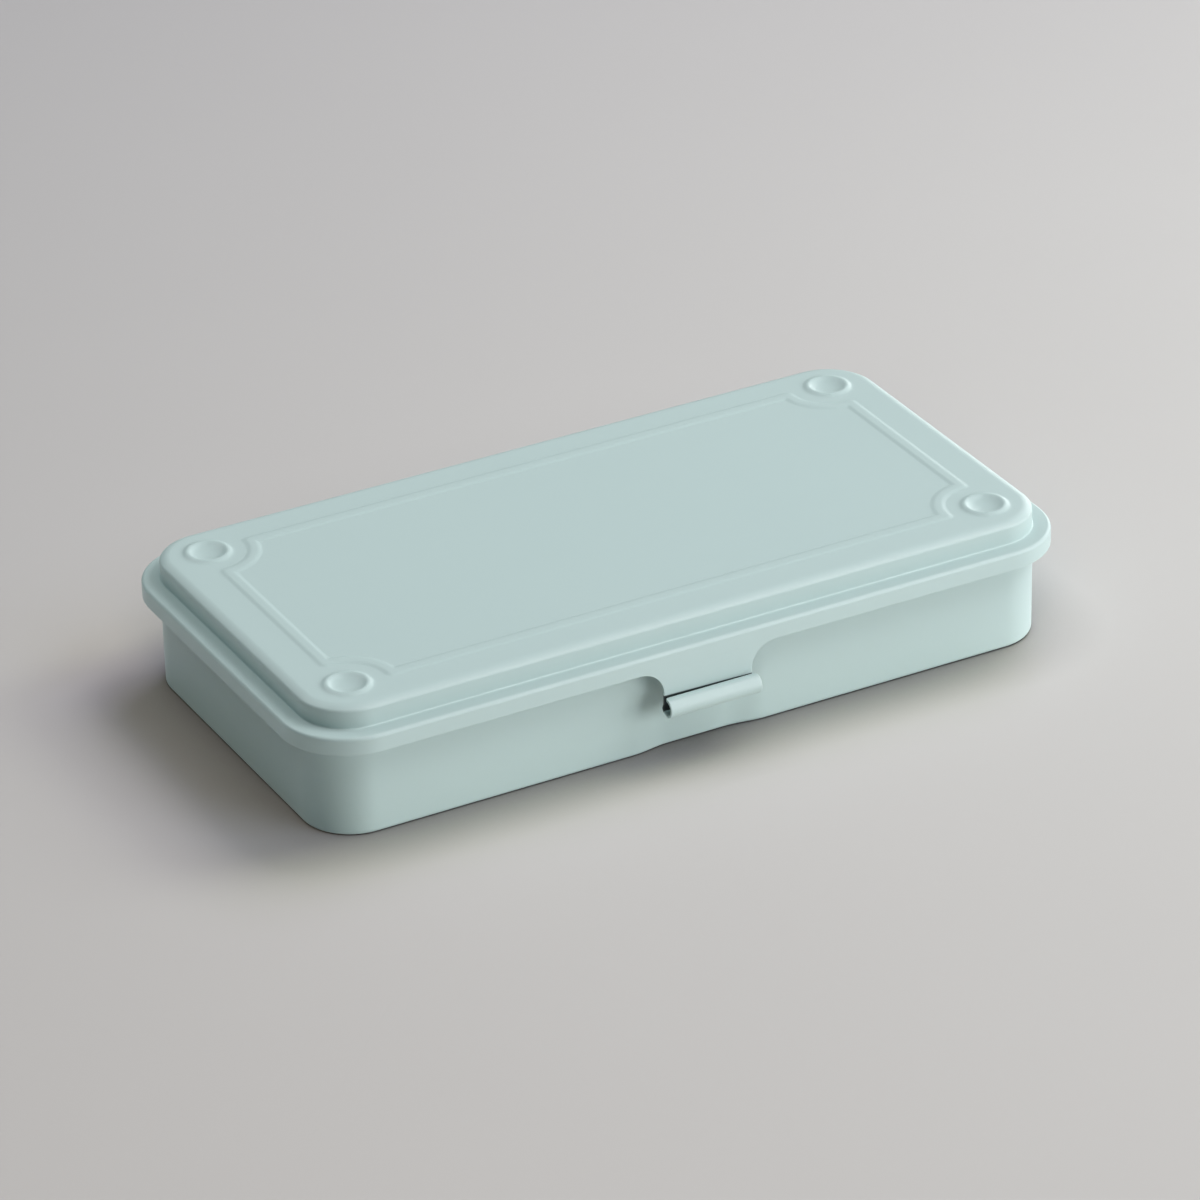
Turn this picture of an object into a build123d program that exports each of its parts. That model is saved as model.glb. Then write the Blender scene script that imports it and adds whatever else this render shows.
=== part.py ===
from build123d import *
import math
import os

# A small flat storage box pressed from sheet steel: a drawn tray, a drawn lid with a latch tongue, and two hinges.
# Frame: +X along the length, the latch faces -Y, the hinges are at +Y, +Z is up, and the base stands on z = 0.

# Overall sizes, in millimetres
box_length = 206.0
box_width = 107.0
box_height = 34.0
sheet_thickness = 0.6

# Tray
skirt_stand_off = 4.4
tray_corner_radius = 13.0
base_edge_radius = 1.2
rim_curl_diameter = 2.4

# Lid profile, from the skirt's lower edge up to the plateau
skirt_drop = 4.5
flange_edge_radius = 0.9
plateau_rise = 5.6
plateau_inset = 4.6
cove_radius = 0.4
shoulder_width = 1.5
shoulder_drop = 0.95
shoulder_edge_radius = 0.8
shoulder_bend_radius = 4.0
shoulder_to_panel = 2.4
lid_seat_gap = 0.2

# Line bead on the plateau, with a notch round each corner boss
bead_length = 172.6
bead_width_across = 75.3
bead_ridge_width = 4.0
bead_crest_width = 1.5
bead_height = 0.25
bead_notch_radius = 11.3

# Corner bosses and the stacking pockets that take them
boss_spacing_length = 172.5
boss_spacing_width = 74.8
boss_radius = 6.3
boss_height = 0.5
boss_crest_radius = 5.0
boss_bowl_radius = 4.6
boss_bowl_depth = 1.05
boss_bowl_bend_radius = 3.0
boss_bowl_bend_rise = 0.3
stacking_clearance = 0.9
pocket_depth = 1.0
pocket_slope_width = 0.8

# Latch tongue with its outward roll
tongue_width = 23.8
tongue_fillet_radius = 6.3
roll_width = 24.6
roll_diameter = 4.8
roll_centre_drop = 9.3
roll_opening_angle = 60.0
catch_bead_radius = 0.9
catch_bead_width = 18.0
catch_bead_reach = 1.0

# Finger recess and catch nose in the tray's front wall
recess_depth = 1.2
recess_floor_width = 18.0
recess_ramp_width = 7.6
recess_height = 15.2
recess_top_ramp = 1.6
nose_width = 18.0
nose_height = 4.0
nose_clearance = 0.2
nose_lift = 0.9
nose_slope = 0.9

# Hinges
hinge_spacing = 104.0
hinge_width = 25.0
hinge_leaf_thickness = 0.8
hinge_axis_drop = 5.4
hinge_running_gap = 0.3
hinge_pin_clearance = 0.05
knuckle_count = 5
knuckle_end_gap = 0.2
body_leaf_height = 11.0
lug_side_margin = 1.5
lug_fillet_radius = 3.0
pin_end_margin = 0.3

# Heights that follow
flange_top = box_height - plateau_rise
skirt_bottom = flange_top - skirt_drop
flange_underside = flange_top - sheet_thickness
rim_top = flange_underside - lid_seat_gap
plateau_underside = box_height - sheet_thickness

# The shoulder's slope, and the run and drop of its inner face, which lies a sheet below
shoulder_turn = math.atan2(shoulder_drop, shoulder_width)
inner_shoulder_width = shoulder_width - sheet_thickness * (1 - math.tan(shoulder_turn / 2))
inner_shoulder_drop = inner_shoulder_width * math.tan(shoulder_turn)

# Corners share one centre, so each corner radius follows from the inset of its face
skirt_corner_radius = tray_corner_radius + skirt_stand_off
flat_inset = plateau_inset + shoulder_width + shoulder_to_panel
half_length = box_length / 2
half_width = box_width / 2
corner_x = half_length - skirt_corner_radius
corner_y = half_width - skirt_corner_radius

# Faces of the walls, measured across the box
wall_face_y = half_width - skirt_stand_off
skirt_inner_y = half_width - sheet_thickness

# Hinge axis, midway between the tray's wall and the skirt
hinge_axis_y = (wall_face_y + skirt_inner_y) / 2
hinge_axis_z = skirt_bottom - hinge_axis_drop
knuckle_radius = (skirt_inner_y - wall_face_y) / 2 - hinge_running_gap
knuckle_bore_radius = knuckle_radius - hinge_leaf_thickness
pin_radius = knuckle_bore_radius - hinge_pin_clearance

# Latch places
roll_radius = roll_diameter / 2
roll_centre_z = skirt_bottom - roll_centre_drop
roll_centre_y = -skirt_inner_y - roll_radius
catch_bead_z = roll_centre_z + catch_bead_radius
catch_bead_tip_y = -skirt_inner_y + catch_bead_reach
nose_bottom = catch_bead_z + catch_bead_radius + nose_lift
nose_tip_y = catch_bead_tip_y + nose_clearance

print("skirt bottom", round(skirt_bottom, 3), "flange top", flange_top, "rim top", round(rim_top, 3))
print("hinge axis y z", round(hinge_axis_y, 3), round(hinge_axis_z, 3), "knuckle radius", round(knuckle_radius, 3))
print("roll centre y z", round(roll_centre_y, 3), round(roll_centre_z, 3))


def rounded_block(inset, low, high):
    """A block with rounded vertical corners, its faces inset from the skirt's outer face."""
    outline = RectangleRounded(
        box_length - 2 * inset,
        box_width - 2 * inset,
        skirt_corner_radius - inset,
    )
    return Pos(0, 0, low) * extrude(outline, high - low)


def drawn_form(points, radii, low, high):
    """A filled drawn form: a profile carried round the rounded rectangle, with its middle filled.

    The points are (inset from the skirt, height) from the outside in, and each inner point has its own radius.
    """
    wire = FilletPolyline(*[(-inset, height) for inset, height in points], radius=radii)
    start = points[0]
    end = points[-1]
    closing = Polyline((-end[0], end[1]), (-end[0], start[1]), (-start[0], start[1]))
    profile = make_face([wire.edges(), closing.edges()])
    return carried_round(profile) + rounded_block(flat_inset, low, high)


def carried_round(profile):
    """Carry a flat profile once round the box: straight along each side and turned about each corner."""
    upright = Plane.XZ * profile
    long_run = 2 * corner_x
    short_run = 2 * corner_y
    form = None
    for side in (0, 180):
        end_wall = Pos(half_length, corner_y, 0) * extrude(upright, short_run)
        side_wall = Pos(half_width, corner_x, 0) * extrude(upright, long_run)
        form = joined(form, Rot(0, 0, side) * end_wall)
        form = joined(form, Rot(0, 0, side + 90) * side_wall)
    turned = Pos(skirt_corner_radius, 0, 0) * upright
    for start_angle, x_sign, y_sign in ((0, 1, 1), (90, -1, 1), (180, -1, -1), (270, 1, -1)):
        corner = revolve(Rot(0, 0, start_angle) * turned, Axis.Z, 90)
        form = joined(form, Pos(x_sign * corner_x, y_sign * corner_y, 0) * corner)
    return form


def joined(first, second):
    """Join two forms, where the first may not exist yet."""
    return second if first is None else first + second


def boss_places():
    """Centres of the four corner bosses."""
    for x_sign in (-1, 1):
        for y_sign in (-1, 1):
            yield x_sign * boss_spacing_length / 2, y_sign * boss_spacing_width / 2


def turned_disc(radii_and_heights):
    """A pressed round form in the sheet: the upper face is given, and the lower one follows a sheet below."""
    upper = [Vector(radius, 0, height) for radius, height in radii_and_heights]
    lower = [point - Vector(0, 0, sheet_thickness) for point in upper]
    outline = Polyline(*upper, *reversed(lower), close=True)
    return revolve(make_face(outline), Axis.Z)


def recess_form(growth):
    """The finger recess in the front wall, open to the front and below, grown by a sheet for its inner face."""
    floor_half = recess_floor_width / 2 + growth
    mouth_half = floor_half + recess_ramp_width
    outer_y = -wall_face_y
    depth = recess_depth
    plan = Polyline(
        (-mouth_half, outer_y + growth),
        (-floor_half, outer_y + growth + depth),
        (floor_half, outer_y + growth + depth),
        (mouth_half, outer_y + growth),
        (mouth_half, outer_y - depth),
        (-mouth_half, outer_y - depth),
        close=True,
    )
    top = recess_height + growth
    form = extrude(make_face(plan), top)
    past_floor = 2 * depth
    fall = past_floor * recess_top_ramp / depth
    slope = Polyline(
        (outer_y + growth, top),
        (outer_y + growth + past_floor, top - fall),
        (outer_y + growth + past_floor, top),
        close=True,
    )
    wedge = extrude(Plane.YZ * make_face(slope), mouth_half, both=True)
    return form - wedge


def nose_form(shrink):
    """The catch nose pressed out of the front wall, shrunk by a sheet for its hollow inside."""
    root_y = -wall_face_y + 2 * sheet_thickness
    tip_y = nose_tip_y + shrink
    top = nose_bottom + nose_height - shrink
    bottom = nose_bottom + shrink
    side = Polyline(
        (root_y, bottom),
        (tip_y, bottom),
        (tip_y, top - nose_slope),
        (-wall_face_y, top),
        (root_y, top),
        close=True,
    )
    return extrude(Plane.YZ * make_face(side), nose_width / 2 - shrink, both=True)


def rim_curl():
    """The tray's rim, rolled outward and down over three quarters of a turn."""
    radius = rim_curl_diameter / 2
    centre_inset = skirt_stand_off + sheet_thickness - radius
    open_quarter = Pos(-radius, -radius) * Rectangle(2 * radius, 2 * radius)
    section = Circle(radius) - Circle(radius - sheet_thickness) - open_quarter
    return carried_round(Pos(-centre_inset, rim_top - radius) * section)


def make_body_tray():
    """The drawn tray: walls and base, rim curl, finger recess, catch nose and stacking pockets."""
    wall_top = rim_top - rim_curl_diameter / 2
    inner_inset = skirt_stand_off + sheet_thickness
    outer = drawn_form(
        [(skirt_stand_off, wall_top), (skirt_stand_off, 0), (flat_inset, 0)],
        [base_edge_radius],
        0,
        wall_top,
    )
    inner = drawn_form(
        [(inner_inset, wall_top), (inner_inset, sheet_thickness), (flat_inset, sheet_thickness)],
        [base_edge_radius - sheet_thickness],
        sheet_thickness,
        wall_top,
    )
    outer = outer - recess_form(0) + nose_form(0)
    inner = inner - recess_form(sheet_thickness) + nose_form(sheet_thickness)
    tray = outer - inner + rim_curl()
    pocket_radius = boss_radius + stacking_clearance
    outer_radius = pocket_radius + pocket_slope_width
    floor = pocket_depth + sheet_thickness
    pocket = turned_disc([(0, floor), (pocket_radius, floor), (outer_radius, sheet_thickness)])
    return with_discs(tray, pocket, outer_radius, 0)


def with_discs(shell, disc, radius, lower_face):
    """Cut a round blank out of the sheet at each boss place and set the pressed disc in it."""
    blank = Cylinder(radius, sheet_thickness, align=(Align.CENTER, Align.CENTER, Align.MIN))
    for x, y in boss_places():
        shell = shell - Pos(x, y, lower_face) * blank
        shell = shell + Pos(x, y, 0) * disc
    return shell


def bead_outline(grow):
    """The bead's line grown outward: a rectangle with a round notch at each corner."""
    outline = Rectangle(bead_length + 2 * grow, bead_width_across + 2 * grow)
    for x, y in boss_places():
        outline = outline - Pos(x, y) * Circle(bead_notch_radius - grow)
    return outline


def sloped_prism(base_grow, top_grow):
    """The area inside the bead's line as a low prism whose sides slope from one outline to another."""
    base = Pos(0, 0, box_height) * bead_outline(base_grow)
    top = Pos(0, 0, box_height + bead_height) * bead_outline(top_grow)
    return loft([base.face(), top.face()], ruled=True)


def bead_ridge():
    """The raised line bead, with a flat crest and sides that slope down to the plateau."""
    half_ridge = bead_ridge_width / 2
    half_crest = bead_crest_width / 2
    return sloped_prism(half_ridge, half_crest) - sloped_prism(-half_ridge, -half_crest)


def hinge_places():
    """The two hinges' names, each with the hinge's middle along X."""
    return {"left": -hinge_spacing / 2, "right": hinge_spacing / 2}


def tab_blank(width, fillet_radius, low, high):
    """A flat tab in the sheet that hangs from an edge, flared into it by two round fillets. Faces +Y from y = 0."""
    half = width / 2
    flare = half + fillet_radius
    right = Polyline((half, high - fillet_radius), (half, low), (-half, low), (-half, high - fillet_radius))
    left_arc = RadiusArc((-half, high - fillet_radius), (-flare, high), -fillet_radius)
    right_arc = RadiusArc((flare, high), (half, high - fillet_radius), -fillet_radius)
    top = Line((-flare, high), (flare, high))
    outline = make_face([right.edges(), left_arc.edges(), right_arc.edges(), top.edges()])
    return extrude(Plane.XZ * outline, -sheet_thickness)


def make_lid_pressing():
    """The drawn lid: plateau, shoulder, cove, flange and skirt, with its bead, bosses and two rear hinge lugs."""
    outer = drawn_form(
        [
            (0, skirt_bottom),
            (0, flange_top),
            (plateau_inset, flange_top),
            (plateau_inset, box_height - shoulder_drop),
            (plateau_inset + shoulder_width, box_height),
            (flat_inset, box_height),
        ],
        [flange_edge_radius, cove_radius, shoulder_edge_radius, shoulder_bend_radius],
        skirt_bottom,
        box_height,
    )
    inner = drawn_form(
        [
            (sheet_thickness, skirt_bottom),
            (sheet_thickness, flange_underside),
            (plateau_inset + sheet_thickness, flange_underside),
            (plateau_inset + sheet_thickness, plateau_underside - inner_shoulder_drop),
            (plateau_inset + sheet_thickness + inner_shoulder_width, plateau_underside),
            (flat_inset, plateau_underside),
        ],
        [
            flange_edge_radius - sheet_thickness,
            cove_radius + sheet_thickness,
            shoulder_edge_radius - sheet_thickness,
            shoulder_bend_radius - sheet_thickness,
        ],
        skirt_bottom,
        plateau_underside,
    )
    lid = outer - inner
    ridge = bead_ridge()
    lid = lid + ridge - Pos(0, 0, -sheet_thickness) * ridge
    crest = box_height + boss_height
    boss = turned_disc(
        [
            (0, crest - boss_bowl_depth),
            (boss_bowl_bend_radius, crest - boss_bowl_depth + boss_bowl_bend_rise),
            (boss_bowl_radius, crest),
            (boss_crest_radius, crest),
            (boss_radius, box_height),
        ]
    )
    lid = with_discs(lid, boss, boss_radius, plateau_underside)
    lug_width = hinge_width + 2 * lug_side_margin
    for x in hinge_places().values():
        lug = tab_blank(lug_width, lug_fillet_radius, hinge_axis_z, skirt_bottom)
        lid = lid + Pos(x, skirt_inner_y, 0) * lug
    return lid


def make_latch_tongue():
    """The front tab below the skirt: flared into it by fillets and rolled outward at its lower edge."""
    tab = Pos(0, -half_width, 0) * tab_blank(tongue_width, tongue_fillet_radius, roll_centre_z, skirt_bottom)
    bore_radius = roll_radius - sheet_thickness
    reach = 2 * roll_radius
    mouth = Polyline(
        (0, 0),
        (reach, 0),
        (reach, reach * math.tan(math.radians(roll_opening_angle))),
        close=True,
    )
    section = Circle(roll_radius) - Circle(bore_radius) - make_face(mouth)
    roll = Pos(0, roll_centre_y, roll_centre_z) * extrude(Plane.YZ * section, roll_width / 2, both=True)
    bead_section = Circle(catch_bead_radius)
    bead = extrude(Plane.YZ * bead_section, catch_bead_width / 2, both=True)
    bead_centre_y = catch_bead_tip_y - catch_bead_radius
    bead = Pos(0, bead_centre_y, catch_bead_z) * bead
    behind_tab = Box(roll_width, 2 * roll_diameter, roll_diameter)
    bead = bead - Pos(0, -skirt_inner_y - roll_diameter, catch_bead_z) * behind_tab
    return tab + roll + bead


def knuckle_spans(owner):
    """Start and end along X, from the hinge's middle, of the knuckles that a leaf owns: even ones for the tray."""
    pitch = hinge_width / knuckle_count
    for number in range(knuckle_count):
        if number % 2 == owner:
            start = -hinge_width / 2 + number * pitch
            yield start + knuckle_end_gap / 2, start + pitch - knuckle_end_gap / 2


def make_hinge_leaf(x, owner):
    """A hinge leaf: a flat plate with curled knuckles, bored for the pin. Owner 0 is the tray's, 1 the lid's."""
    axis_place = Pos(x, hinge_axis_y, hinge_axis_z)
    if owner == 0:
        low = -body_leaf_height
        high = 0.0
        face = wall_face_y - hinge_axis_y + hinge_leaf_thickness / 2
    else:
        low = 0.0
        high = flange_underside - flange_edge_radius - hinge_axis_z
        face = skirt_inner_y - hinge_axis_y - hinge_leaf_thickness / 2
    plate = Pos(0, face, (low + high) / 2) * Box(hinge_width, hinge_leaf_thickness, high - low)
    clear_radius = knuckle_radius + hinge_running_gap
    pitch = hinge_width / knuckle_count
    for number in range(knuckle_count):
        if number % 2 != owner:
            centre = -hinge_width / 2 + (number + 0.5) * pitch
            plate = plate - Pos(centre, 0, 0) * Rot(0, 90, 0) * Cylinder(clear_radius, pitch + knuckle_end_gap)
    leaf = plate
    for start, end in knuckle_spans(owner):
        barrel = Pos((start + end) / 2, 0, 0) * Rot(0, 90, 0) * Cylinder(knuckle_radius, end - start)
        leaf = leaf + barrel
    bore = Rot(0, 90, 0) * Cylinder(knuckle_bore_radius, 2 * hinge_width)
    return axis_place * (leaf - bore)


def make_hinge_pin(x):
    """The plain hinge pin, a little longer than the row of knuckles."""
    length = hinge_width + 2 * pin_end_margin
    return Pos(x, hinge_axis_y, hinge_axis_z) * Rot(0, 90, 0) * Cylinder(pin_radius, length)


def write_part(name, shape):
    """Write one piece as a STEP file named after its node."""
    export_step(shape, "parts/" + name + ".step")
    print(name, "solids", len(shape.solids()), "volume", round(shape.volume, 1))


os.makedirs("parts", exist_ok=True)
write_part("body_tray", make_body_tray())
write_part("lid_pressing", make_lid_pressing())
write_part("latch_tongue", make_latch_tongue())
for side_name, side_x in hinge_places().items():
    write_part(side_name + "_hinge_body_leaf", make_hinge_leaf(side_x, 0))
    write_part(side_name + "_hinge_lid_leaf", make_hinge_leaf(side_x, 1))
    write_part(side_name + "_hinge_pin", make_hinge_pin(side_x))
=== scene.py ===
# %% [markdown]
# # A flat steel storage box, dressed for a picture
#
# The real object is a small box for pencils, brushes or sewing tools, pressed from thin sheet steel: a
# drawn tray, a drawn lid with a latch tongue, and two hinges at the back. It is painted once it is
# together, in a satin pale mint.
#
# The solid model is already packed as a frame. This script lays finer surfaces over it, gives them paint,
# and sets up the floor, the light and the camera, in metres and in the solid model's own frame.

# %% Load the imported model
import bmesh
import bpy
import math
from functools import partial
import numpy as np
from mathutils import Matrix, Vector
from mathutils.geometry import delaunay_2d_cdt
from mathutils.kdtree import KDTree


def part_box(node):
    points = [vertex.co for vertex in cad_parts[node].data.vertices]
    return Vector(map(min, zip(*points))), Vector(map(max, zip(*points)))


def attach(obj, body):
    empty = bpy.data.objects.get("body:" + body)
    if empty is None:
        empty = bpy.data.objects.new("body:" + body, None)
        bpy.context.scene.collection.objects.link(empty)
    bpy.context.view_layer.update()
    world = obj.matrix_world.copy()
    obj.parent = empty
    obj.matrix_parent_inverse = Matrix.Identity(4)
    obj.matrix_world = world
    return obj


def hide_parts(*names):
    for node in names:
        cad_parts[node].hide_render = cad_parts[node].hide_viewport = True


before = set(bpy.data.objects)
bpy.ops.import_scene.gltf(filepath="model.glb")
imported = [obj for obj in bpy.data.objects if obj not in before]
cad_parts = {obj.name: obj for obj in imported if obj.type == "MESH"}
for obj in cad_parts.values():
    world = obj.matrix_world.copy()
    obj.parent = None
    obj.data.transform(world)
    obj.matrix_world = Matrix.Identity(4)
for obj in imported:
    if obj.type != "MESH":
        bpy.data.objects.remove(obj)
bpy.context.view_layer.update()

MM = 0.001
print("nodes:", sorted(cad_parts))

# %% [markdown]
# ## The camera
#
# The photograph was taken from the left and above with a long lens, so lines that are parallel on the box
# stay nearly parallel in the picture. A camera can simply be given a location and a rotation. Here it is
# placed by what it looks at, the angles it looks from, how far away it stands and how much it leans,
# because each of these has a meaning and can be checked.

# %% Place the camera
AIM = Vector((2.92, 5.25, 11.04)) * MM
AZIMUTH, ELEVATION, LEAN = -28.036, 28.584, -1.349
DISTANCE = 1464.63 * MM
LENS, SENSOR_WIDTH = 180.3, 36.0
NEAREST_SEEN = 0.05


def direction(azimuth, elevation):
    """The way out from the box, in degrees: azimuth 0 is in front of the latch, 90 at the right end."""
    turn, rise = math.radians(azimuth), math.radians(elevation)
    return Vector((math.sin(turn) * math.cos(rise), -math.cos(turn) * math.cos(rise), math.sin(rise)))


def look_from(azimuth, elevation, lean):
    """Axes of a camera that looks from these angles: right, up and back, as the columns of a matrix."""
    back = direction(azimuth, elevation)
    right = Vector((0, 0, 1)).cross(back).normalized()
    up = back.cross(right)
    c, s = math.cos(math.radians(lean)), math.sin(math.radians(lean))
    return Matrix((right * c + up * s, up * c - right * s, back)).transposed()


camera = bpy.data.objects.new("camera", bpy.data.cameras.new("camera"))
bpy.context.scene.collection.objects.link(camera)
camera.data.lens = LENS
camera.data.sensor_width = SENSOR_WIDTH
camera.data.clip_start = NEAREST_SEEN
axes = look_from(AZIMUTH, ELEVATION, LEAN)
camera.matrix_world = Matrix.Translation(AIM + axes.col[2] * DISTANCE) @ axes.to_4x4()
bpy.context.scene.camera = camera
print("camera stands at", [round(v, 3) for v in camera.location])

# %% [markdown]
# ## Colour on the screen
#
# The picture is a plain product photograph with even tones. Blender's default view would soften the bright
# ones. The standard view shows the light values as they are, so a colour measured on the photograph can be
# compared with the render directly.

# %% Choose the view
bpy.context.scene.view_settings.view_transform = "Standard"
print("view:", bpy.context.scene.view_settings.view_transform)

# %% [markdown]
# ## Sizes that the surfaces share
#
# The pressed shapes follow the solid model. Every wall, flange and curl of the box runs round the same
# rounded rectangle, only more or less far in from the skirt. All corners share their centres, so one
# number, the inset, says where a line runs, and its corner radius follows.

# %% Shared sizes
HALF_X, HALF_Y = 103.0, 53.5
SKIRT_RADIUS = 17.4
SHEET = 0.6
TOP = 34.0
FLANGE_TOP = 28.4
SKIRT_BOTTOM = 23.9
WALL_INSET = 4.4
LID_WALL_INSET = 4.6
EDGE_ROUND = 0.14
TONGUE_HALF, TONGUE_FILLET = 11.9, 6.3
corner_x = HALF_X - SKIRT_RADIUS
corner_y = HALF_Y - SKIRT_RADIUS
lid_low, lid_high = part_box("lid_pressing")
print("lid in the frame, mm:", [round(v / MM, 2) for v in (*lid_low, *lid_high)])

# %% [markdown]
# ## Small helpers for nodes
#
# A material is a graph of nodes, whose sockets are joined or hold a value. These helpers keep the graph
# code short: the maths, colour mixes, noise and closeness that the paints need are one call each. A mix
# node also has sockets for other kinds of value, so its colour sockets are found by their place in the
# list.

# %% Node helpers
FLOAT, COLOR = "NodeSocketFloat", "NodeSocketColor"
MIX_SHARE, MIX_FIRST, MIX_SECOND, MIX_RESULT = 0, 6, 7, 2


def feed(tree, socket, part):
    """Join another node's output to an input socket, or set the socket's own value."""
    if isinstance(part, bpy.types.NodeSocket):
        tree.links.new(part, socket)
    else:
        socket.default_value = part


def add_node(tree, kind, **parts):
    """Add a node. Each part feeds the input of its name, or sets the property if there is no such input."""
    node = tree.nodes.new(kind)
    for name, part in parts.items():
        socket = node.inputs.get(name.replace("_", " "))
        if socket is None:
            setattr(node, name, part)
        else:
            feed(tree, socket, part)
    return node


def maths(tree, operation, *parts, clamp=False):
    """A math node. Returns its output."""
    node = add_node(tree, "ShaderNodeMath", operation=operation, use_clamp=clamp)
    for socket, part in zip(node.inputs, parts):
        feed(tree, socket, part)
    return node.outputs[0]


def blend(tree, share, first, second):
    """A mix of two colours: share 0 gives the first, and 1 the second. Returns the colour."""
    node = add_node(tree, "ShaderNodeMix", data_type="RGBA")
    for place, part in ((MIX_SHARE, share), (MIX_FIRST, first), (MIX_SECOND, second)):
        feed(tree, node.inputs[place], part)
    return node.outputs[MIX_RESULT]


def noise(tree, **parts):
    """Soft noise in the object's own space. Returns its value."""
    place = add_node(tree, "ShaderNodeTexCoord")
    return add_node(tree, "ShaderNodeTexNoise", Vector=place.outputs["Object"], **parts).outputs["Fac"]


def openness(tree, samples, distance, **span):
    """How open a place is to all sides within a distance, spread over a range."""
    around = add_node(tree, "ShaderNodeAmbientOcclusion", samples=samples, Distance=distance)
    return add_node(tree, "ShaderNodeMapRange", Value=around.outputs["AO"], **span).outputs["Result"]


def new_group(name, inputs, outputs):
    """A shader node group. Inputs are (name, kind, value) and outputs are (name, kind)."""
    group = bpy.data.node_groups.new(name, "ShaderNodeTree")
    for socket_name, kind, value in inputs:
        socket = group.interface.new_socket(socket_name, in_out="INPUT", socket_type=kind)
        socket.default_value = value
    for socket_name, kind in outputs:
        group.interface.new_socket(socket_name, in_out="OUTPUT", socket_type=kind)
    return group, group.nodes.new("NodeGroupInput").outputs, group.nodes.new("NodeGroupOutput").inputs


def use_group(tree, group, **parts):
    """Place a node group in a tree with its own values. Returns its outputs."""
    return add_node(tree, "ShaderNodeGroup", node_tree=group, **parts).outputs


def new_material(name):
    """A material with an empty tree."""
    material = bpy.data.materials.new(name)
    material.use_nodes = True
    material.node_tree.nodes.clear()
    return material, material.node_tree


print("node helpers ready")

# %% [markdown]
# ## Orange peel
#
# Sprayed and baked paint never dries quite flat. It keeps a shallow skin of soft bumps about a millimetre
# across, called orange peel, with finer grain on top. Bumps this small would need millions of faces in a
# mesh, so they are a height for a Bump node instead: two noise textures, added together. Each paint decides
# how strongly it stands out.

# %% Group: orange peel
peel, peel_in, peel_out = new_group(
    "orange_peel", [("Bump Size", FLOAT, 700.0), ("Grain", FLOAT, 0.25)], [("Height", FLOAT)],
)
bumps = noise(peel, Scale=peel_in["Bump Size"], Detail=1.5, Roughness=0.4)
fine = noise(peel, Scale=4200.0, Detail=2.0, Roughness=0.5)
feed(peel, peel_out["Height"], maths(peel, "ADD", bumps, maths(peel, "MULTIPLY", fine, peel_in["Grain"])))
print("group", peel.name, "has", len(peel.nodes), "nodes")

# %% [markdown]
# ## Uneven tone
#
# A coat of paint is a little thicker in one place than in another, so its colour drifts softly over a few
# centimetres. One flat colour would look computed. A slow noise mixes two close tones of the same paint,
# and a faster one changes how rough the skin is, which makes soft highlights look alive.

# %% Group: uneven tone
tone, tone_in, tone_out = new_group(
    "uneven_tone",
    [
        ("Main Color", COLOR, (0.5, 0.62, 0.62, 1.0)),
        ("Thick Color", COLOR, (0.47, 0.6, 0.6, 1.0)),
        ("Patch Size", FLOAT, 22.0),
        ("Least Roughness", FLOAT, 0.4),
        ("Most Roughness", FLOAT, 0.5),
    ],
    [("Color", COLOR), ("Roughness", FLOAT)],
)
drift = noise(tone, Scale=tone_in["Patch Size"], Detail=3.0, Roughness=0.55)
mottle = noise(tone, Scale=160.0, Detail=3.0, Roughness=0.6)
spread = add_node(
    tone, "ShaderNodeMapRange", Value=mottle,
    To_Min=tone_in["Least Roughness"], To_Max=tone_in["Most Roughness"],
)
feed(tone, tone_out["Color"], blend(tone, drift, tone_in["Main Color"], tone_in["Thick Color"]))
feed(tone, tone_out["Roughness"], spread.outputs["Result"])
print("group", tone.name, "has", len(tone.nodes), "nodes")

# %% [markdown]
# ## Thin paint at cut edges
#
# Paint draws back from a sheared edge while it bakes, so the edge shows a little paler than the face beside
# it. A node could guess where edges are from the bend of the surface, but it would find soft bends too. So
# the meshes carry a value named cut_edge, which is 1 along sheared edges and 0 elsewhere. The group breaks
# it up with noise, because a perfectly even line would look drawn on.

# %% Group: thin paint at cut edges
thin, thin_in, thin_out = new_group("thin_paint_at_edges", [("Break Up", FLOAT, 0.5)], [("Mask", FLOAT)])
edge = add_node(thin, "ShaderNodeAttribute", attribute_name="cut_edge").outputs["Fac"]
speckle = noise(thin, Scale=900.0, Detail=3.0, Roughness=0.6)
broken = maths(thin, "MULTIPLY", speckle, thin_in["Break Up"])
feed(thin, thin_out["Mask"], maths(thin, "SUBTRACT", edge, broken, clamp=True))
print("group", thin.name, "has", len(thin.nodes), "nodes")

# %% [markdown]
# ## Shade about the latch
#
# Behind the tab and in the crease above its roll the paint is darkened almost to black: painted shade,
# standing in for the deep shadow there. A painted picture would need the surfaces laid out flat. The group
# works from places instead, and draws three painted-shade masks from the tab's outline, in millimetres:
# behind the tab, a soft band beside it, and the crease above the roll, which is wider at its left end. The
# wall behind is known by its depth and by facing forward, and there the tab is taken a little lower, as one
# sees it from above.

# %% Group: shade about the latch
SEEN_LOWER = 1.8
WALL_DEPTH, WALL_FACING = -49.0, -0.3
WALL_FOOT, FOOT_FADE = 11.5, 0.4
BEHIND_START, BEHIND_FADE = -0.75, 2.0
BESIDE_REACH, BESIDE_FADE = 1.5, 0.22
CREASE_Z = 16.35
CREASE_WIDTH, CREASE_TAPER = 0.34, -0.017
CREASE_END, CREASE_FADE = 1.5, 2.0
TAB_DEPTH = -54.05

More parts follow.
